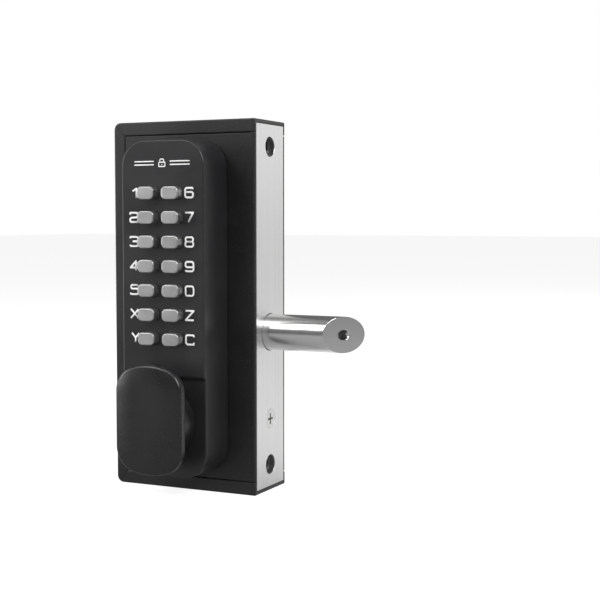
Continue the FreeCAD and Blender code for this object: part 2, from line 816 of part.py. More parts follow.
def spindle_bush(side):
    """Flanged bush that the spindle turns in."""
    body = new_body(side + "_spindle_bush")
    barrel = sketch_on(body, "XZ_Plane", "bush_end")
    circle(barrel, "0", "0", "bush_diameter - 2 * seat_gap")
    pad(body, barrel, "housing_face - step_depth - end_gap - bush_end")
    flange = sketch_on(body, "XZ_Plane", "bush_flange_back")
    circle(flange, "0", "0", "bush_flange")
    pad(body, flange, "cavity_end - bush_flange_back")
    bore = sketch_on(body, "XZ_Plane", "housing_face")
    circle(bore, "0", "0", "spindle_diameter + 2 * running_gap")
    pocket(body, bore)
    put(body, side, up="spindle_height")


# ---------------------------------------------------------------- knob
def knob(side):
    """Oblong grip on a round boss. The grip sits a little above the spindle's axis."""
    body = new_body(side + "_knob")
    boss = sketch_on(body, "XZ_Plane", "boss_start")
    circle(boss, "0", "0", "boss_diameter")
    flare = pad(body, boss, "grip_start - boss_start + cut_past")
    flare.setExpression("TaperAngle", bound("-boss_taper"))
    grip = sketch_on(body, "XZ_Plane", "grip_start")
    grip_outline(grip)
    pad(body, grip, "grip_end - grip_start")
    faces = (num("-grip_start"), num("-grip_end"))
    rim = num("boss_diameter / 2")
    round_edges(
        body,
        "grip_round",
        lambda edge: any(lies_at(edge, "y", face) for face in faces) and beyond(edge, rim),
    )
    socket = sketch_on(body, "XZ_Plane", "boss_start")
    circle(socket, "0", "0", "spindle_diameter + seat_gap")
    pocket(body, socket, "spindle_outer - boss_start + end_gap", reverse=True)
    put(body, side, up="spindle_height")


def beyond(edge, radius):
    """True where an edge lies outside a circle round the spindle's axis."""
    return all(math.hypot(vertex.X, vertex.Z) > radius for vertex in edge.Vertexes)


def grip_outline(sketch):
    """Straight sides, corner arcs and a flatter arc at each end, all tangent."""
    a, b, lift = num("grip_half_width"), num("grip_half_height"), num("grip_lift")
    r, big = num("grip_corner"), num("grip_end_radius")
    rise = b - big + math.sqrt((big - r) ** 2 - (a - r) ** 2)
    lean = math.atan2(rise - (b - big), a - r)
    first = sketch.GeometryCount
    normal = Vector(0, 0, 1)
    full = math.pi

    def arc(across, up, radius, start, end):
        whole = Part.Circle(Vector(across, up + lift, 0), normal, radius)
        sketch.addGeometry(Part.ArcOfCircle(whole, start, end))

    sketch.addGeometry(Part.LineSegment(Vector(a, lift - rise, 0), Vector(a, lift + rise, 0)))
    arc(a - r, rise, r, 0, lean)
    arc(0, b - big, big, lean, full - lean)
    arc(r - a, rise, r, full - lean, full)
    sketch.addGeometry(Part.LineSegment(Vector(-a, lift + rise, 0), Vector(-a, lift - rise, 0)))
    arc(r - a, -rise, r, full, full + lean)
    arc(0, big - b, big, full + lean, 2 * full - lean)
    arc(a - r, -rise, r, 2 * full - lean, 2 * full)
    for step in range(8):
        following = first + (step + 1) % 8
        sketch.addConstraint(Sketcher.Constraint("Tangent", first + step, 2, following, 1))
    for line, across in ((0, "grip_half_width"), (4, "-grip_half_width")):
        sketch.addConstraint(Sketcher.Constraint("Vertical", first + line))
        hold(sketch, "DistanceX", across, -1, 1, first + line, 1)
    for corner in (1, 3, 5, 7):
        hold(sketch, "Radius", "grip_corner", first + corner)
    for end, up in (
        (2, "grip_lift + grip_half_height - grip_end_radius"),
        (6, "grip_lift - grip_half_height + grip_end_radius"),
    ):
        hold(sketch, "Radius", "grip_end_radius", first + end)
        hold_point(sketch, first + end, 3, "0", up)


def spindle(side):
    """Round steel spindle from inside the knob's boss to the lever's hub."""
    body = new_body(side + "_spindle")
    section = sketch_on(body, "XZ_Plane", "spindle_inner")
    circle(section, "0", "0", "spindle_diameter")
    pad(body, section, "spindle_outer - spindle_inner")
    put(body, side, up="spindle_height")


def clutch_sleeve(side, position):
    """Sleeve on the spindle whose two dogs drive the lever's hub when the code has been entered."""
    body = new_body(side + "_clutch_sleeve")
    ring = sketch_on(body, "XZ_Plane", position)
    circle(ring, "0", "0", "sleeve_diameter")
    pad(body, ring, "sleeve_length")
    dogs = sketch_on(body, "XZ_Plane", position)
    reach = "(sleeve_diameter / 2 - dog_inset)"
    rectangle(dogs, f"-{reach}", reach, "-dog_width / 2", "dog_width / 2")
    pad(body, dogs, "dog_length", reverse=True)
    bore = sketch_on(body, "XZ_Plane", f"{position} + sleeve_length")
    circle(bore, "0", "0", "spindle_diameter + seat_gap")
    pocket(body, bore)
    put(body, side, up="spindle_height")
    if side == "front":
        body.Placement = Placement(body.Placement.Base, Rotation(Vector(0, 1, 0), num("lever_start_angle")))


def knob_spring(side):
    """Torsion spring round the spindle, behind the housing's bush."""
    radius, wire = num("knob_spring_radius"), num("knob_spring_wire")
    shape = coil(radius, wire, num("knob_spring_height"), num("knob_spring_turns"))
    inward = -1 if side == "front" else 1
    turn = Rotation(Vector(1, 0, 0), -90 * inward)
    place = Vector(num("keypad_centre"), inward * num("knob_spring_start"), num("spindle_height"))
    shape_node(side + "_knob_spring", shape, Placement(place, turn))


# ---------------------------------------------------------------- assembly
case_frame()
faceplate()
faceplate_screw()
fixing_spacers()
latch_guide_block()
latch_slide()
latch_bolt()
latch_adjusting_screw()
latch_spring()
retractor_lever()
for side, sleeve in (("front", "engaged_sleeve"), ("back", "free_sleeve")):
    cover_plate(side)
    keypad_housing(side)
    housing_gasket(side)
    housing_screws(side)
    code_plate(side)
    button_springs(side)
    for legend, across, up in button_places():
        push_button(side, legend, across, up)
    spindle_bush(side)
    knob(side)
    spindle(side)
    clutch_sleeve(side, sleeve)
    knob_spring(side)
doc.recompute()

# ---------------------------------------------------------------- checks and export
for item in doc.Objects:
    if any(state in ("Invalid", "Error") for state in item.State):
        raise RuntimeError(f"{item.Label} did not compute: {item.State}")
for node in nodes:
    if node.Shape.isNull() or not node.Shape.isValid():
        raise RuntimeError(f"{node.Label} has no valid shape")
for node in nodes:
    node.Shape.exportStep(f"parts/{node.Label}.step")
    box = node.Shape.BoundBox
    print(
        f"{node.Label:24s} solids {len(node.Shape.Solids)} volume {node.Shape.Volume:9.1f}"
        f"  x {box.XMin:7.2f} {box.XMax:7.2f}"
        f"  y {box.YMin:7.2f} {box.YMax:7.2f}"
        f"  z {box.ZMin:7.2f} {box.ZMax:7.2f}"
    )
print(len(nodes), "nodes")
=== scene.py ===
import math

import bmesh
import bpy
from mathutils import Matrix, Vector


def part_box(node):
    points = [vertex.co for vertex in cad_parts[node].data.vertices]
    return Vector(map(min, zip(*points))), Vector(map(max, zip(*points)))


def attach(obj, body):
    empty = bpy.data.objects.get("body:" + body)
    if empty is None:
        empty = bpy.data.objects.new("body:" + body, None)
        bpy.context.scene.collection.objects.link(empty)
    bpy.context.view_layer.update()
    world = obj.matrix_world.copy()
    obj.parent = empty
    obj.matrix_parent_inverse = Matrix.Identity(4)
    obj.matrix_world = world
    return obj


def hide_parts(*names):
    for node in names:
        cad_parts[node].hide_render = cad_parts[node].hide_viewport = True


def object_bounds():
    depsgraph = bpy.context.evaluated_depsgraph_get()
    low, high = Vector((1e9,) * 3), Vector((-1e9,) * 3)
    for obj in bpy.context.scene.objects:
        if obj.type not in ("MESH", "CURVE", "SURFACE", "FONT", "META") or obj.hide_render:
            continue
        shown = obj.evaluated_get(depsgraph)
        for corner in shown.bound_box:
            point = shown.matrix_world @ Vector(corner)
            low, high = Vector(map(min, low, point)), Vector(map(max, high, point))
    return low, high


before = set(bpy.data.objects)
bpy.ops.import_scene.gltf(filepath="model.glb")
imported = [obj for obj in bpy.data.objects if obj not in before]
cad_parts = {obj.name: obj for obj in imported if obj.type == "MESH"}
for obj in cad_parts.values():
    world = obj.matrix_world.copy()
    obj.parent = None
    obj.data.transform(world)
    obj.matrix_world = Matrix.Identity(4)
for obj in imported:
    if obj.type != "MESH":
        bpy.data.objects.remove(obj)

cad_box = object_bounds()


# ------------------------------------------------------------------ studio
# A pale floor that the lock stands on, with soft boxes on both sides, behind it and overhead.
# The camera looks a little down on the front keypad and the faceplate.
def soft_box(name, place, aim, size, power):
    """Square area light that faces a point."""
    light = bpy.data.lights.new(name, "AREA")
    light.shape = "RECTANGLE"
    light.size, light.size_y = size
    light.energy = power
    lamp = bpy.data.objects.new(name, light)
    bpy.context.scene.collection.objects.link(lamp)
    lamp.location = place
    lamp.visible_camera = False
    lamp.rotation_euler = (Vector(aim) - Vector(place)).to_track_quat("-Z", "Y").to_euler()
    return lamp


def studio_floor():
    bpy.ops.object.select_all(action="DESELECT")
    bpy.ops.mesh.primitive_plane_add(size=14, location=(0, 3, cad_box[0].z))
    bpy.ops.object.transform_apply(location=True)
    floor = bpy.context.object
    floor.name = "floor"
    pale = bpy.data.materials.new("pale_floor")
    pale.use_nodes = True
    surface = pale.node_tree.nodes["Principled BSDF"]
    surface.inputs["Base Color"].default_value = (0.4, 0.4, 0.4, 1)
    surface.inputs["Roughness"].default_value = 0.9
    surface.inputs["Specular IOR Level"].default_value = 0
    surface.inputs["Emission Color"].default_value = (1, 1, 1, 1)
    nodes, links = pale.node_tree.nodes, pale.node_tree.links
    path = nodes.new("ShaderNodeLightPath")
    place, depth = nodes.new("ShaderNodeTexCoord"), nodes.new("ShaderNodeSeparateXYZ")
    behind, glow = nodes.new("ShaderNodeMapRange"), nodes.new("ShaderNodeMix")
    behind.inputs["From Min"].default_value, behind.inputs["From Max"].default_value = -0.05, 0.08
    behind.inputs["To Max"].default_value = 0.66
    glow.inputs["B"].default_value = 0.86
    links.new(place.outputs["Object"], depth.inputs[0])
    links.new(depth.outputs["Y"], behind.inputs["Value"])
    links.new(behind.outputs["Result"], glow.inputs["A"])
    links.new(path.outputs["Is Camera Ray"], glow.inputs["Factor"])
    links.new(glow.outputs["Result"], surface.inputs["Emission Strength"])
    floor.data.materials.append(pale)


def studio_air(seen, cast):
    """White surroundings, dimmer in what they cast than in how they look."""
    world = bpy.data.worlds.new("studio")
    bpy.context.scene.world = world
    world.use_nodes = True
    nodes, links = world.node_tree.nodes, world.node_tree.links
    nodes.clear()
    path = nodes.new("ShaderNodeLightPath")
    near, far = nodes.new("ShaderNodeBackground"), nodes.new("ShaderNodeBackground")
    for background in (near, far):
        background.inputs["Color"].default_value = (1, 1, 1, 1)
    near.inputs["Strength"].default_value = cast
    far.inputs["Strength"].default_value = seen
    mix, out = nodes.new("ShaderNodeMixShader"), nodes.new("ShaderNodeOutputWorld")
    links.new(path.outputs["Is Camera Ray"], mix.inputs[0])
    links.new(near.outputs[0], mix.inputs[1])
    links.new(far.outputs[0], mix.inputs[2])
    links.new(mix.outputs[0], out.inputs["Surface"])


camera_data = bpy.data.cameras.new("camera")
camera_data.lens = 74.6
camera_data.sensor_width = 36
camera = bpy.data.objects.new("camera", camera_data)
bpy.context.scene.collection.objects.link(camera)
camera.location = (0.400, -0.6165, 0.0488)
camera_aim = Vector((0.1012, 0.0149, 0.0032))
camera.rotation_euler = (camera_aim - camera.location).to_track_quat("-Z", "Y").to_euler()
bpy.context.scene.camera = camera
bpy.context.scene.view_settings.view_transform = "Standard"
studio_floor()
studio_air(seen=1.0, cast=0.17)
lock_centre = (0.05, 0, 0)
soft_box("key_box", (-0.50, -0.78, 0.80), lock_centre, (0.6, 0.6), 5.5)
soft_box("left_box", (-1.05, -0.60, 0.05), lock_centre, (0.4, 0.9), 10)
soft_box("far_box", (0.85, 1.30, 0.85), lock_centre, (1.4, 1.8), 7.5)
soft_box("right_box", (0.95, -0.45, 0.75), lock_centre, (0.5, 0.5), 10)
soft_box("top_box", (0.15, -0.62, 0.95), lock_centre, (0.5, 0.4), 2.5)


# ------------------------------------------------------------------ case frame
# Three bars of flat steel, mitred and welded into a channel round the mechanism, then powder coated
# black. The covers lie in rebates in both its faces, and the faceplate closes its open side.
def block(low, high):
    """Cube primitive between two corners."""
    low, high = Vector(low), Vector(high)
    bpy.ops.object.select_all(action="DESELECT")
    bpy.ops.mesh.primitive_cube_add(size=1, location=(low + high) / 2, scale=high - low)
    bpy.ops.object.transform_apply(location=True, rotation=True, scale=True)
    return bpy.context.object


def rod(start, end, radius, sides=96, tip=None):
    """Cylinder primitive between two points, or a cone where the tip's radius differs."""
    start, end = Vector(start), Vector(end)
    along = end - start
    bpy.ops.object.select_all(action="DESELECT")
    bpy.ops.mesh.primitive_cone_add(
        vertices=sides, radius1=radius, radius2=radius if tip is None else tip, depth=along.length,
        location=(start + end) / 2, rotation=along.to_track_quat("Z", "Y").to_euler(),
    )
    bpy.ops.object.transform_apply(location=True, rotation=True, scale=True)
    return bpy.context.object


def modify(piece, kind, **settings):
    """Add a modifier and apply it."""
    bpy.ops.object.select_all(action="DESELECT")
    piece.select_set(True)
    bpy.context.view_layer.objects.active = piece
    modifier = piece.modifiers.new(kind.lower(), kind)
    for setting, value in settings.items():
        setattr(modifier, setting, value)
    bpy.ops.object.modifier_apply(modifier=modifier.name)


def combine(piece, others, operation="DIFFERENCE"):
    """Cut the others out of the piece, or weld them to it with UNION."""
    for other in others:
        modify(piece, "BOOLEAN", operation=operation, solver="EXACT", object=other)
        bpy.data.objects.remove(other)


def bevel_where(piece, test, width, segments):
    """Round the edges that pass a test on their two ends."""
    bpy.ops.object.select_all(action="DESELECT")
    piece.select_set(True)
    bpy.context.view_layer.objects.active = piece
    bpy.ops.object.mode_set(mode="EDIT")
    bpy.ops.mesh.select_mode(type="EDGE")
    bpy.ops.mesh.select_all(action="DESELECT")
    shape = bmesh.from_edit_mesh(piece.data)
    for edge in shape.edges:
        turned = len(edge.link_faces) == 2 and edge.calc_face_angle(0) > math.radians(15)
        if turned and test(edge.verts[0].co, edge.verts[1].co):
            edge.select_set(True)
    bmesh.update_edit_mesh(piece.data)
    bpy.ops.mesh.bevel(offset=width, segments=segments, affect="EDGES", clamp_overlap=True)
    bpy.ops.object.mode_set(mode="OBJECT")


def weld(piece, reach=5e-6):
    """Join the points a cut leaves closer together than `reach` and fill the slits that stay."""
    mesh = bmesh.new()
    mesh.from_mesh(piece.data)
    bmesh.ops.remove_doubles(mesh, verts=mesh.verts, dist=reach)
    bmesh.ops.dissolve_degenerate(mesh, dist=reach, edges=mesh.edges)
    slits = [edge for edge in mesh.edges if len(edge.link_faces) == 1]
    bmesh.ops.holes_fill(mesh, edges=slits, sides=6)
    mesh.to_mesh(piece.data)
    mesh.free()


def along(axis, one, other):
    """True where an edge runs along one axis."""
    return all(abs(one[k] - other[k]) < 1e-6 for k in range(3) if k != axis)


def smooth(piece, angle=32):
    """Smooth shading that keeps flat faces flat."""
    bpy.ops.object.select_all(action="DESELECT")
    piece.select_set(True)
    bpy.context.view_layer.objects.active = piece
    bpy.ops.object.shade_smooth_by_angle(angle=math.radians(angle))
    modify(piece, "WEIGHTED_NORMAL", keep_sharp=True, weight=90)


def fit(piece, name, node, body, material):
    """Name a finished piece, give it its finish and put it in the place of its CAD node."""
    piece.name = name
    piece.data.name = name
    piece.data.materials.clear()
    piece.data.materials.append(material)
    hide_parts(node)
    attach(piece, body)


def noise(tree, size, stretch=(1, 1, 1), detail=3):
    """Noise on Object coordinates: its grain is size metres across, times the stretch along each axis."""
    place = tree.nodes.new("ShaderNodeTexCoord")
    turn = tree.nodes.new("ShaderNodeMapping")
    turn.inputs["Scale"].default_value = [1 / (size * amount) for amount in stretch]
    grain = tree.nodes.new("ShaderNodeTexNoise")
    grain.inputs["Scale"].default_value = 1
    grain.inputs["Detail"].default_value = detail
    tree.links.new(place.outputs["Object"], turn.inputs["Vector"])
    tree.links.new(turn.outputs["Vector"], grain.inputs["Vector"])
    return grain.outputs["Fac"]


def span(tree, value, low, high, cut=(0.3, 0.7)):
    """Spread a noise value between two limits."""
    scale = tree.nodes.new("ShaderNodeMapRange")
    scale.inputs["From Min"].default_value, scale.inputs["From Max"].default_value = cut
    scale.inputs["To Min"].default_value, scale.inputs["To Max"].default_value = low, high
    tree.links.new(value, scale.inputs["Value"])
    return scale.outputs["Result"]


def relief(tree, value, depth, under=None):
    """Bump of a given depth in metres."""
    bump = tree.nodes.new("ShaderNodeBump")
    bump.inputs["Distance"].default_value = depth
    tree.links.new(value, bump.inputs["Height"])
    if under is not None:
        tree.links.new(under, bump.inputs["Normal"])
    return bump.outputs["Normal"]


def shade_between(tree, value, dark, light):
    """Colour that runs from dark to light with a value."""
    mix = tree.nodes.new("ShaderNodeMix")
    mix.data_type = "RGBA"
    mix.inputs["A"].default_value = (*dark, 1)
    mix.inputs["B"].default_value = (*light, 1)
    tree.links.new(value, mix.inputs["Factor"])
    return mix.outputs["Result"]


def new_finish(name):
    material = bpy.data.materials.new(name)
    material.use_nodes = True
    return material, material.node_tree, material.node_tree.nodes["Principled BSDF"]


def powder_coat(name, roughness, peel, dark=0.0105):
    """Black polyester powder: fine orange peel, faint clouding of the sheen and a few dust specks."""
    material, tree, surface = new_finish(name)
    surface.inputs["Specular IOR Level"].default_value = 0.5
    fine = noise(tree, 0.00045, detail=2)
    wavy = noise(tree, 0.0016, detail=1)
    cloud = noise(tree, 0.03, detail=4)
    specks = span(tree, noise(tree, 0.0007, detail=0), 0, 1, cut=(0.74, 0.80))
    sheen = tree.nodes.new("ShaderNodeMath")
    sheen.operation = "ADD"
    tree.links.new(span(tree, cloud, roughness - 0.04, roughness + 0.05), sheen.inputs[0])
    tree.links.new(span(tree, fine, -0.03, 0.03), sheen.inputs[1])
    tree.links.new(sheen.outputs[0], surface.inputs["Roughness"])
    deep, worn = (dark, dark, dark * 1.1), (dark * 1.45, dark * 1.45, dark * 1.55)
    coat = shade_between(tree, span(tree, cloud, 0, 1), deep, worn)
    dusted = tree.nodes.new("ShaderNodeMix")
    dusted.data_type = "RGBA"
    dusted.inputs["B"].default_value = (0.03, 0.03, 0.031, 1)
    tree.links.new(specks, dusted.inputs["Factor"])
    tree.links.new(coat, dusted.inputs["A"])
    tree.links.new(dusted.outputs["Result"], surface.inputs["Base Color"])
    tree.links.new(relief(tree, fine, peel, relief(tree, wavy, peel * 1.6)), surface.inputs["Normal"])
    return material


case_coat = powder_coat("case_powder_coat", roughness=0.42, peel=0.000012, dark=0.009)
case_low, case_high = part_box("case_frame")
plate_low, plate_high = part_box("faceplate")
spacer_low, spacer_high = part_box("fixing_spacers")
cover_low, cover_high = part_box("front_cover_plate")
fixing_height = (spacer_high.z - spacer_low.z) / 2 - 0.0058
fixing_radius = 0.00425
rim = 0.0075
ledge = 0.002
rebate = 0.002

case = block(case_low, case_high)
bevel_where(case, lambda one, other: along(1, one, other) and one.x < 1e-6, 0.004, 10)
inner = rim + ledge
past = 0.01
cavity = block(
    (inner, case_low.y - past, case_low.z + inner),
    (case_high.x + past, case_high.y + past, case_high.z - inner),
)
rebates = [
    block((rim, y, case_low.z + rim), (case_high.x + past, y + past, case_high.z - rim))
    for y in (case_low.y - past + rebate, case_high.y - rebate)
]
seat_half, seat_gap = 0.0165, 0.0001
seat = block(
    (plate_low.x, -seat_half, plate_low.z - seat_gap),
    (case_high.x + past, seat_half, plate_high.z + seat_gap),
)
bores = [rod((-past, 0, z), (0.02, 0, z), fixing_radius, 64) for z in (-fixing_height, fixing_height)]
combine(case, [cavity, *rebates, seat, *bores])
modify(case, "BEVEL", width=0.0008, segments=4, limit_method="ANGLE", angle_limit=math.radians(50))

# the weld's mitre shows as a fine line across each corner
for height, way in ((case_high.z, -1), (case_low.z, 1)):
    for y in (case_low.y, case_high.y):
        middle = Vector((rim / 2, y, height + way * rim / 2))
        line = block((-0.0085, -0.00022, -0.00011), (0.0052, 0.00022, 0.00011))
        line.data.transform(Matrix.Translation(middle) @ Matrix.Rotation(math.radians(-45 * way), 4, "Y"))
        combine(case, [line])
smooth(case)
fit(case, "case_bars", "case_frame", "case", case_coat)


# ------------------------------------------------------------------ cover plates
# One flat 2 mm steel cover on each side, powder coated with the case and let in flush with its bars.
# A fine dark gap shows all round. Its free edge, beside the faceplate, is rolled over.
def cover_plate(side):
    low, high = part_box(f"{side}_cover_plate")
    spindle_low, spindle_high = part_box(f"{side}_spindle")
    outer = low.y if side == "front" else high.y
    plate = block(low, high)

    def free_edge(one, other):
        return along(2, one, other) and one.x > high.x - 1e-6 and abs(one.y - outer) < 1e-6

    bevel_where(plate, free_edge, 0.0011, 5)
    modify(plate, "BEVEL", width=0.00025, segments=2, limit_method="ANGLE", angle_limit=math.radians(50))
    middle = (spindle_low + spindle_high) / 2
    holes = [rod((middle.x, low.y - 0.01, middle.z), (middle.x, high.y + 0.01, middle.z), 0.007)]
    for across in (-0.0175, 0.0175):
        for up in (-0.0805, 0.0805):
            beside = middle.x + across
            holes.append(rod((beside, low.y - 0.01, up), (beside, high.y + 0.01, up), 0.00225, 32))
    combine(plate, holes)
    smooth(plate)
    fit(plate, f"{side}_cover", f"{side}_cover_plate", "case", case_coat)


for side in ("front", "back"):
    cover_plate(side)


# ------------------------------------------------------------------ faceplate
# Stainless strip, brushed along its length, let into the open side between the two covers. It has a
# plain hole near each end for the fixing bolts, a countersunk one for its screw and one for the bolt.
def metal(name, colour, roughness, size, stretch, depth, spread=0.07, tint=0.10):
    """Bare metal whose grain shows in its colour, its roughness and its relief."""
    material, tree, surface = new_finish(name)
    surface.inputs["Metallic"].default_value = 1
    grain = noise(tree, size, stretch, detail=4)
    broad = noise(tree, size * 14, stretch, detail=2)
    both = tree.nodes.new("ShaderNodeMath")
    both.operation = "MULTIPLY_ADD"
    both.inputs[1].default_value = 0.6
    tree.links.new(grain, both.inputs[0])
    tree.links.new(span(tree, broad, 0, 0.4, cut=(0.2, 0.8)), both.inputs[2])
    dark = [channel * (1 - tint) for channel in colour]
    light = [min(1, channel * (1 + tint)) for channel in colour]
    colour_mix = shade_between(tree, span(tree, both.outputs[0], 0, 1), dark, light)
    tree.links.new(colour_mix, surface.inputs["Base Color"])
    dull = span(tree, both.outputs[0], roughness - spread, roughness + spread)
    tree.links.new(dull, surface.inputs["Roughness"])
    tree.links.new(relief(tree, grain, depth), surface.inputs["Normal"])
    return material


brushed = metal(
    "brushed_faceplate", (0.70, 0.70, 0.695), 0.36, 0.00016, (1, 1, 120), 0.0000015,
    spread=0.03, tint=0.045,
)
bolt_low, bolt_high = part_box("latch_bolt")
screw_low, screw_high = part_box("faceplate_screw")
bolt_height = (bolt_low.z + bolt_high.z) / 2
bolt_radius = (bolt_high.z - bolt_low.z) / 2
screw_height = (screw_low.z + screw_high.z) / 2

faceplate = block(plate_low, plate_high)
modify(faceplate, "BEVEL", width=0.0002, segments=2, limit_method="ANGLE", angle_limit=math.radians(50))
outside = plate_high.x
holes = [(bolt_height, bolt_radius + 0.00025, 0.0003), (screw_height, 0.00275, 0.0029)]
holes += [(height, 0.0055, 0.0002) for height in (-fixing_height, fixing_height)]
for height, radius, sink in holes:
    combine(faceplate, [rod((outside - 0.01, 0, height), (outside + 0.01, 0, height), radius, 128)])
for height, radius, sink in holes:
    middle = Vector((outside, 0, height))

    def on_mouth(one, other):
        return max((one - middle).length, (other - middle).length) < radius + 1e-5

    bevel_where(faceplate, on_mouth, sink, 1)
smooth(faceplate)
fit(faceplate, "faceplate_strip", "faceplate", "case", brushed)


# ------------------------------------------------------------------ latch bolt
# Bar of stainless steel, ground round and cut off at a slant so that it rides over the keep. The hole
# in the slant leads to the adjusting screw, which sets how far the bolt stands out.
ground = metal(
    "ground_bolt", (0.72, 0.72, 0.715), 0.22, 0.00008, (1, 60, 60), 0.0000006, spread=0.03, tint=0.03,
)
bevel_slope = math.tan(math.radians(39.5))
bolt_end = 0.1345
bolt = rod((bolt_low.x + 0.008, 0, bolt_height), (bolt_high.x + 0.03, 0, bolt_height), bolt_radius, 160)
bpy.ops.object.mode_set(mode="EDIT")
bpy.ops.mesh.select_all(action="SELECT")
bpy.ops.mesh.bisect(
    plane_co=(bolt_end, 0, bolt_height), plane_no=(1, -bevel_slope, 0), clear_outer=True, use_fill=True,
)
bpy.ops.object.mode_set(mode="OBJECT")
spigot = rod((bolt_low.x, 0, bolt_height), (bolt_low.x + 0.0085, 0, bolt_height), 0.006, 64)
combine(bolt, [spigot], "UNION")
combine(bolt, [rod((bolt_low.x - 0.01, 0, bolt_height), (bolt_high.x + 0.02, 0, bolt_height), 0.00275, 64)])
modify(bolt, "BEVEL", width=0.0002, segments=3, limit_method="ANGLE", angle_limit=math.radians(28))
smooth(bolt, 24)
fit(bolt, "slanted_bolt", "latch_bolt", "latch", ground)


# ------------------------------------------------------------------ mechanism
# What is inside the case: plated steel slide, lever, spindles and clutch sleeves, brass bushes, wire
# springs and a cast guide block. Little of it shows, past the bolt and down the fixing holes.
screw_steel = metal("screw_steel", (0.62, 0.62, 0.61), 0.28, 0.0004, (1, 1, 1), 0.000004)
plated = metal("zinc_plate", (0.50, 0.52, 0.56), 0.34, 0.0008, (1, 1, 1), 0.000004)
cast = metal("cast_zinc", (0.32, 0.32, 0.33), 0.55, 0.0006, (1, 1, 1), 0.00002)
wire = metal("spring_wire", (0.42, 0.42, 0.43), 0.30, 0.0004, (1, 1, 1), 0.000003)
brass = metal("bush_brass", (0.72, 0.52, 0.26), 0.30, 0.0003, (1, 1, 1), 0.000003)
inside = {
    "faceplate_screw": screw_steel,
    "fixing_spacers": case_coat,
    "latch_guide_block": cast,
    "latch_slide": plated,
    "latch_adjusting_screw": plated,
    "latch_spring": wire,
    "retractor_lever": plated,
}
for side in ("front", "back"):
    inside[f"{side}_housing_screws"] = screw_steel
    inside[f"{side}_code_plate"] = plated
    inside[f"{side}_button_springs"] = wire
    inside[f"{side}_spindle_bush"] = brass
    inside[f"{side}_spindle"] = plated
    inside[f"{side}_clutch_sleeve"] = plated
    inside[f"{side}_knob_spring"] = wire
for node, material in inside.items():
    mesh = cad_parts[node].data
    mesh.materials.clear()
    mesh.materials.append(material)


# ------------------------------------------------------------------ keypad housings
# Die-cast housing on each cover: a deep rounded box whose face steps back below the buttons, with a
# rounded front edge. Powder coated like the case but a little glossier. A thin gasket seals it.
housing_coat = powder_coat("housing_powder_coat", roughness=0.36, peel=0.000009, dark=0.014)


def rubber():
    material, tree, surface = new_finish("gasket_rubber")
    grain = noise(tree, 0.0006)
    black = shade_between(tree, grain, (0.008, 0.008, 0.008), (0.02, 0.02, 0.02))
    tree.links.new(black, surface.inputs["Base Color"])
    tree.links.new(span(tree, grain, 0.7, 0.85), surface.inputs["Roughness"])
    tree.links.new(relief(tree, grain, 0.00002), surface.inputs["Normal"])
    return material


def rounded_block(low, high, corner, segments):
    """Block whose four edges along Y are rounded."""
    piece = block(low, high)
    bevel_where(piece, lambda one, other: along(1, one, other), corner, segments)
    return piece


gasket_rubber = rubber()
left_legends = ["1", "2", "3", "4", "5", "x", "y"]
right_legends = ["6", "7", "8", "9", "0", "z", "c"]


def housing_shape():
    """The front housing, from its CAD box."""
    low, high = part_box("front_keypad_housing")
    shell = rounded_block(low, high, 0.014, 22)
    face, step = low.y, 0.0018
    step_high, step_low = -0.0331, -0.0368
    cutter = block((low.x - 0.01, face - 0.01, low.z - 0.01), (high.x + 0.01, face + step, step_high))
    for point in cutter.data.vertices:
        if point.co.y > face and point.co.z > step_low:
            point.co.z = step_low
    combine(shell, [cutter])
    centre = (low.x + high.x) / 2
    edge_x, corner_z = (high.x - low.x) / 2 - 1e-4, 0.0142

    def on_rim(point):
        at_end = point.z > high.z - corner_z or point.z < low.z + corner_z
        return point.y < face + step + 1e-5 and (at_end or abs(point.x - centre) > edge_x)

    bevel_where(shell, lambda one, other: on_rim(one) and on_rim(other), 0.0029, 8)
    wall = 0.003
    cavity = rounded_block(
        (low.x + wall, high.y - 0.0147, low.z + wall),
        (high.x - wall, high.y + 0.01, high.z - wall), 0.011, 8,
    )
    inset = wall + 0.0022
    deep = rounded_block(
        (low.x + inset, high.y - 0.0206, low.z + inset),
        (high.x - inset, high.y + 0.01, high.z - inset), 0.009, 8,
    )
    bush_height = sum(point.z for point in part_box("front_spindle")) / 2
    bush = rod((centre, face - 0.01, bush_height), (centre, face + 0.01, bush_height), 0.0079)
    combine(shell, [cavity, deep, bush])
    collar_border, button_gap = 0.00105, 0.00015
    for legend in left_legends + right_legends:
        button_low, button_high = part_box(f"front_button_{legend}")
        grow = Vector((collar_border - button_gap, 0, collar_border - button_gap))
        hole = rounded_block(
            Vector((button_low.x, face - 0.004, button_low.z)) + grow,
            Vector((button_high.x, face + 0.008, button_high.z)) - grow, 0.0026, 6,
        )
        combine(shell, [hole])
    weld(shell)
    smooth(shell, 25)
    return shell


def half_turn(piece):
    """Copy of a front piece for the back, turned half round the keypads' common axis."""
    bpy.ops.object.select_all(action="DESELECT")
    copy = piece.copy()
    copy.data = piece.data.copy()
    bpy.context.scene.collection.objects.link(copy)
    low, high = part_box("front_keypad_housing")
    centre = Vector(((low.x + high.x) / 2, 0, 0))
    turn = Matrix.Translation(centre) @ Matrix.Rotation(math.pi, 4, "Z") @ Matrix.Translation(-centre)
    copy.data.transform(turn)
    return copy


def gasket_shape():
    low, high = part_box("front_housing_gasket")
    width = 0.004
    ring = rounded_block(low, high, 0.0135, 16)
    gap = Vector((width, -0.01, width))
    combine(ring, [rounded_block(low + gap, high - gap, 0.0095, 12)])
    smooth(ring)
    return ring


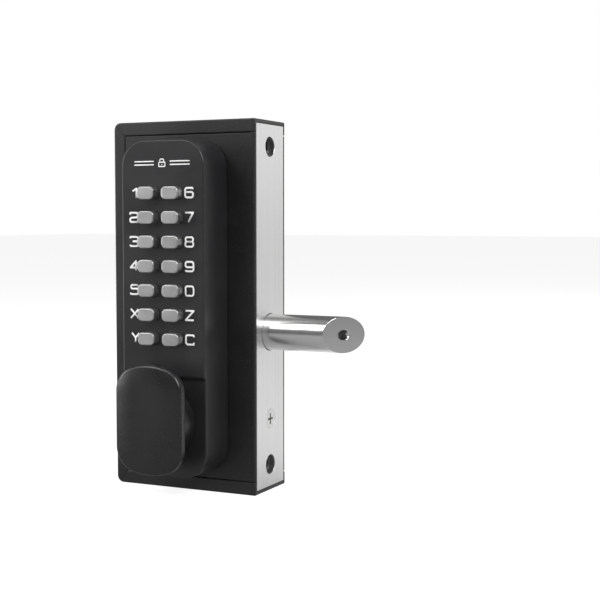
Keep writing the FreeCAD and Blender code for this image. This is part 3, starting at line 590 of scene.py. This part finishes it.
front_housing = housing_shape()
back_housing = half_turn(front_housing)
front_gasket = gasket_shape()
back_gasket = half_turn(front_gasket)
for side, housing, gasket in (("front", front_housing, front_gasket), ("back", back_housing, back_gasket)):
    fit(housing, f"{side}_housing", f"{side}_keypad_housing", "case", housing_coat)
    fit(gasket, f"{side}_gasket", f"{side}_housing_gasket", "case", gasket_rubber)


# ------------------------------------------------------------------ legends
# White legends pad-printed beside the buttons, in an extended round-cornered face, with a plain
# padlock sign between two short bars above them. Each stroke is a flat ribbon of ink 1 mm wide.
def white_ink():
    material, tree, surface = new_finish("white_ink")
    grain = noise(tree, 0.0005)
    white = shade_between(tree, grain, (0.93, 0.93, 0.92), (0.97, 0.97, 0.96))
    tree.links.new(white, surface.inputs["Base Color"])
    tree.links.new(span(tree, grain, 0.45, 0.6), surface.inputs["Roughness"])
    return material


STROKES = {
    "0": [[(0, 0.5), (0, 1), (1, 1), (1, 0), (0, 0), (0, 0.5)]],
    "1": [[(0.35, 0.72), (0.85, 1), (0.85, 0)]],
    "2": [[(0, 0.78), (0, 1), (1, 1), (1, 0.52), (0, 0.44), (0, 0), (1, 0)]],
    "3": [
        [(0, 0.84), (0, 1), (1, 1), (1, 0.52), (0.3, 0.52)],
        [(0.3, 0.52), (1, 0.52), (1, 0), (0, 0), (0, 0.16)],
    ],
    "4": [[(0.72, 0), (0.72, 1), (0, 0.28), (1, 0.28)]],
    "5": [[(0.95, 1), (0.05, 1), (0.05, 0.6), (1, 0.6), (1, 0), (0, 0), (0, 0.16)]],
    "6": [[(0.95, 0.86), (0.95, 1), (0, 1), (0, 0), (1, 0), (1, 0.57), (0.05, 0.57)]],
    "7": [[(0, 1), (1, 1), (0.4, 0)]],
    "8": [
        [(0.5, 0.53), (0.04, 0.53), (0.04, 1), (0.96, 1), (0.96, 0.53), (0.5, 0.53)],
        [(0.5, 0.53), (0, 0.53), (0, 0), (1, 0), (1, 0.53), (0.5, 0.53)],
    ],
    "9": [[(0.05, 0.14), (0.05, 0), (1, 0), (1, 1), (0, 1), (0, 0.43), (0.95, 0.43)]],
    "x": [[(0, 0), (1, 1)], [(0, 1), (1, 0)]],
    "y": [[(0.12, 1), (0.58, 0.48), (1.05, 1)], [(0.58, 0.48), (0.58, 0)]],
    "z": [[(0, 1), (1, 1), (0, 0), (1, 0)]],
    "c": [[(1, 0.78), (1, 1), (0, 1), (0, 0), (1, 0), (1, 0.22)]],
}
SHARP = {"1", "4", "7", "x", "y", "z"}


def rounded_path(points, radius, steps=6):
    """The points of a line with each inner corner turned on an arc."""
    path = [points[0]]
    for before, corner, after in zip(points, points[1:], points[2:]):
        back, on = before - corner, after - corner
        reach = min(radius, back.length * 0.48, on.length * 0.48)
        start, end = corner + back.normalized() * reach, corner + on.normalized() * reach
        for step in range(steps + 1):
            t = step / steps
            path.append(start * (1 - t) ** 2 + corner * 2 * t * (1 - t) + end * t ** 2)
    path.append(points[-1])
    return path


def ribbon(name, lines, radius, width, face):
    """Flat ribbon of ink on the housing's face, along lines of points given across and up."""
    curve = bpy.data.curves.new(name, "CURVE")
    curve.dimensions = "3D"
    curve.bevel_depth = width / 2
    curve.bevel_resolution = 3
    curve.use_fill_caps = True
    for line in lines:
        path = rounded_path([Vector((across, 0, up)) for across, up in line], radius)
        closed = line[0] == line[-1]
        if closed:
            path.pop()
        spline = curve.splines.new("POLY")
        spline.use_cyclic_u = closed
        spline.points.add(len(path) - 1)
        for point, place in zip(spline.points, path):
            point.co = (*place, 1)
    drawn = bpy.data.objects.new(name, curve)
    bpy.context.scene.collection.objects.link(drawn)
    bpy.ops.object.select_all(action="DESELECT")
    drawn.select_set(True)
    bpy.context.view_layer.objects.active = drawn
    bpy.ops.object.convert(target="MESH")
    flat = bpy.context.object
    bpy.ops.object.mode_set(mode="EDIT")
    bpy.ops.mesh.select_all(action="SELECT")
    bpy.ops.mesh.remove_doubles(threshold=1e-7)
    bpy.ops.object.mode_set(mode="OBJECT")
    flat.data.transform(Matrix.Translation((0, face, 0)) @ Matrix.Diagonal((1, 0.14, 1, 1)))
    return flat


def legend_ribbon(legend, centre, up, face):
    wide, tall, width = 0.0049, 0.0050, 0.00105
    lines = [
        [(centre + (across - 0.5) * wide, up + (high - 0.5) * tall) for across, high in stroke]
        for stroke in STROKES[legend]
    ]
    return ribbon(f"legend_{legend}", lines, 0.0001 if legend in SHARP else 0.0014, width, face)


def join(pieces):
    bpy.ops.object.select_all(action="DESELECT")
    for piece in pieces:
        piece.select_set(True)
    bpy.context.view_layer.objects.active = pieces[0]
    bpy.ops.object.join()
    return bpy.context.object


ink = white_ink()
housing_low, housing_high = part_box("front_keypad_housing")
keypad_centre = (housing_low.x + housing_high.x) / 2
printed = []
for column, legends in ((-1, left_legends), (1, right_legends)):
    for legend in legends:
        low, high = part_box(f"front_button_{legend}")
        across = keypad_centre + (-0.0178 if column < 0 else 0.0167)
        printed.append(legend_ribbon(legend, across, (low.z + high.z) / 2, housing_low.y))
sign_height = 0.0786
bar_ends = (0.0050, 0.0172)
for way in (-1, 1):
    for up in (-0.0009, 0.0009):
        ends = [(keypad_centre + way * reach, sign_height + up) for reach in bar_ends]
        printed.append(ribbon("sign_bar", [ends], 0, 0.0007, housing_low.y))
body = [
    (0, -0.0019), (0.0019, -0.0019), (0.0019, 0.0004), (-0.0019, 0.0004), (-0.0019, -0.0019), (0, -0.0019),
]
shackle = [(-0.0012, 0.0004), (-0.0012, 0.0021), (0.0012, 0.0021), (0.0012, 0.0004)]
keyhole = [(0, -0.0005), (0, -0.0011)]
for outline, radius in ((body, 0.0003), (shackle, 0.0012), (keyhole, 0)):
    line = [(keypad_centre + across, sign_height + up) for across, up in outline]
    printed.append(ribbon("padlock_sign", [line], radius, 0.0006, housing_low.y))
front_legends = join(printed)
back_legends = half_turn(front_legends)
for side, legends in (("front", front_legends), ("back", back_legends)):
    legends.name = f"{side}_legends"
    legends.data.name = legends.name
    legends.data.materials.clear()
    legends.data.materials.append(ink)
    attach(legends, "case")


# ------------------------------------------------------------------ push buttons
# Satin steel bars with rounded corners and a broken front edge, which stand 5.5 mm proud. Behind the
# face each has a collar that keeps it in, and a stem that runs on through the code plate.
button_steel = metal(
    "button_steel", (0.47, 0.47, 0.47), 0.42, 0.0005, (1, 1, 1), 0.000005, spread=0.05, tint=0.05,
)


def button_shape():
    """The first front button, from its CAD box."""
    low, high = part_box("front_button_1")
    middle = (low + high) / 2
    border = Vector((0.00105, 0, 0.00105))
    collar_front = low.y + 0.0104
    bar_end = Vector((high.x, collar_front, high.z)) - border
    bar = rounded_block(low + border, bar_end, 0.0026, 8)
    bevel_where(bar, lambda one, other: max(one.y, other.y) < low.y + 1e-6, 0.0007, 4)
    collar = rounded_block(
        (low.x, collar_front - 0.0001, low.z), (high.x, collar_front + 0.0015, high.z), 0.0026, 5,
    )
    stem = rod((middle.x, collar_front + 0.001, middle.z), (middle.x, high.y, middle.z), 0.002, 32)
    combine(bar, [collar, stem], "UNION")
    smooth(bar)
    return bar


first_button = button_shape()
first_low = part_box("front_button_1")[0]
for legend in left_legends + right_legends:
    front_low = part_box(f"front_button_{legend}")[0]
    button = first_button.copy()
    button.data = first_button.data.copy()
    bpy.context.scene.collection.objects.link(button)
    button.data.transform(Matrix.Translation(front_low - first_low))
    for side, piece in (("front", button), ("back", half_turn(button))):
        node = f"{side}_button_{legend}"
        fit(piece, f"{side}_key_{legend}", node, node, button_steel)
bpy.data.objects.remove(first_button)


# ------------------------------------------------------------------ knobs
# Die-cast turning grip: an oblong paddle, softly crowned on its face, on a round boss that covers the
# spindle's bush. The paddle sits a little above the spindle's axis.
knob_coat = powder_coat("knob_powder_coat", roughness=0.29, peel=0.000006, dark=0.009)


def spin_end(centre, angle, steps):
    """Carry the line's last point round an arc in the X-Z plane."""
    bpy.ops.mesh.spin(steps=steps, angle=angle, center=centre, axis=(0, 1, 0))


def grip_outline(middle, half_width, half_height, corner, end_radius, depth):
    """Face in the paddle's outline: straight sides, corner arcs and flatter arcs at the ends."""
    rise = half_height - end_radius + math.sqrt((end_radius - corner) ** 2 - (half_width - corner) ** 2)
    lean = math.atan2(rise - half_height + end_radius, half_width - corner)
    bpy.ops.object.select_all(action="DESELECT")
    bpy.ops.mesh.primitive_plane_add(size=0.001, location=(0, 0, 0))
    outline = bpy.context.object
    bpy.ops.object.mode_set(mode="EDIT")
    bpy.ops.mesh.select_all(action="SELECT")
    bpy.ops.mesh.merge(type="CENTER")
    bpy.ops.mesh.select_mode(type="VERT")
    start = Vector((middle.x + half_width, depth, middle.z - rise))
    shape = bmesh.from_edit_mesh(outline.data)
    for point in shape.verts:
        point.co = start
        point.select_set(True)
    bmesh.update_edit_mesh(outline.data)
    for way in (1, -1):
        bpy.ops.mesh.extrude_region_move(TRANSFORM_OT_translate={"value": (0, 0, 2 * way * rise)})
        near = (middle.x + way * (half_width - corner), depth, middle.z + way * rise)
        end = (middle.x, depth, middle.z + way * (half_height - end_radius))
        far = (middle.x - way * (half_width - corner), depth, middle.z + way * rise)
        spin_end(near, lean, 14)
        spin_end(end, math.pi - 2 * lean, 14)
        spin_end(far, lean, 14)
    bpy.ops.mesh.select_all(action="SELECT")
    bpy.ops.mesh.remove_doubles(threshold=1e-6)
    bpy.ops.mesh.select_all(action="SELECT")
    bpy.ops.mesh.edge_face_add()
    bpy.ops.object.mode_set(mode="OBJECT")
    return outline


def knob_shape():
    low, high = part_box("front_knob")
    spindle_low, spindle_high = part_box("front_spindle")
    axis = (spindle_low + spindle_high) / 2
    middle = (low + high) / 2
    back = high.y - 0.0126
    paddle = grip_outline(middle, (high.x - low.x) / 2, (high.z - low.z) / 2, 0.014, 0.036, back)
    bpy.ops.object.select_all(action="DESELECT")
    paddle.select_set(True)
    bpy.context.view_layer.objects.active = paddle
    bpy.ops.object.mode_set(mode="EDIT")
    bpy.ops.mesh.select_all(action="SELECT")
    bpy.ops.mesh.select_mode(type="FACE")
    crown, reach, height = [0.0018, 0.0020, 0.0024, 0.0028, 0.0030], 0.0125, 0.0016
    rim_front = low.y + height
    bpy.ops.mesh.extrude_region_move(TRANSFORM_OT_translate={"value": (0, rim_front - back, 0)})
    far = 0
    for step in crown:
        before = height * (1 - (1 - far / reach) ** 2)
        far += step
        after = height * (1 - (1 - far / reach) ** 2)
        bpy.ops.mesh.inset(thickness=step, depth=0, use_boundary=True)
        bpy.ops.transform.translate(value=(0, before - after, 0))
    bpy.ops.mesh.select_all(action="SELECT")
    bpy.ops.mesh.normals_make_consistent(inside=False)
    bpy.ops.object.mode_set(mode="OBJECT")

    def lies_at(depth):
        return lambda one, other: max(abs(one.y - depth), abs(other.y - depth)) < 1e-6

    bevel_where(paddle, lies_at(rim_front), 0.0015, 5)
    bevel_where(paddle, lies_at(back), 0.0009, 4)
    boss = rod((axis.x, high.y, axis.z), (axis.x, back - 0.001, axis.z), 0.0192, 128, 0.0173)
    bevel_where(boss, lies_at(high.y), 0.0006, 3)
    combine(paddle, [boss], "UNION")
    combine(paddle, [rod((axis.x, high.y + 0.005, axis.z), (axis.x, high.y - 0.0109, axis.z), 0.00502, 64)])
    smooth(paddle, 28)
    return paddle


front_grip = knob_shape()
back_grip = half_turn(front_grip)
for side, grip in (("front", front_grip), ("back", back_grip)):
    fit(grip, f"{side}_grip", f"{side}_knob", f"{side}_knob", knob_coat)
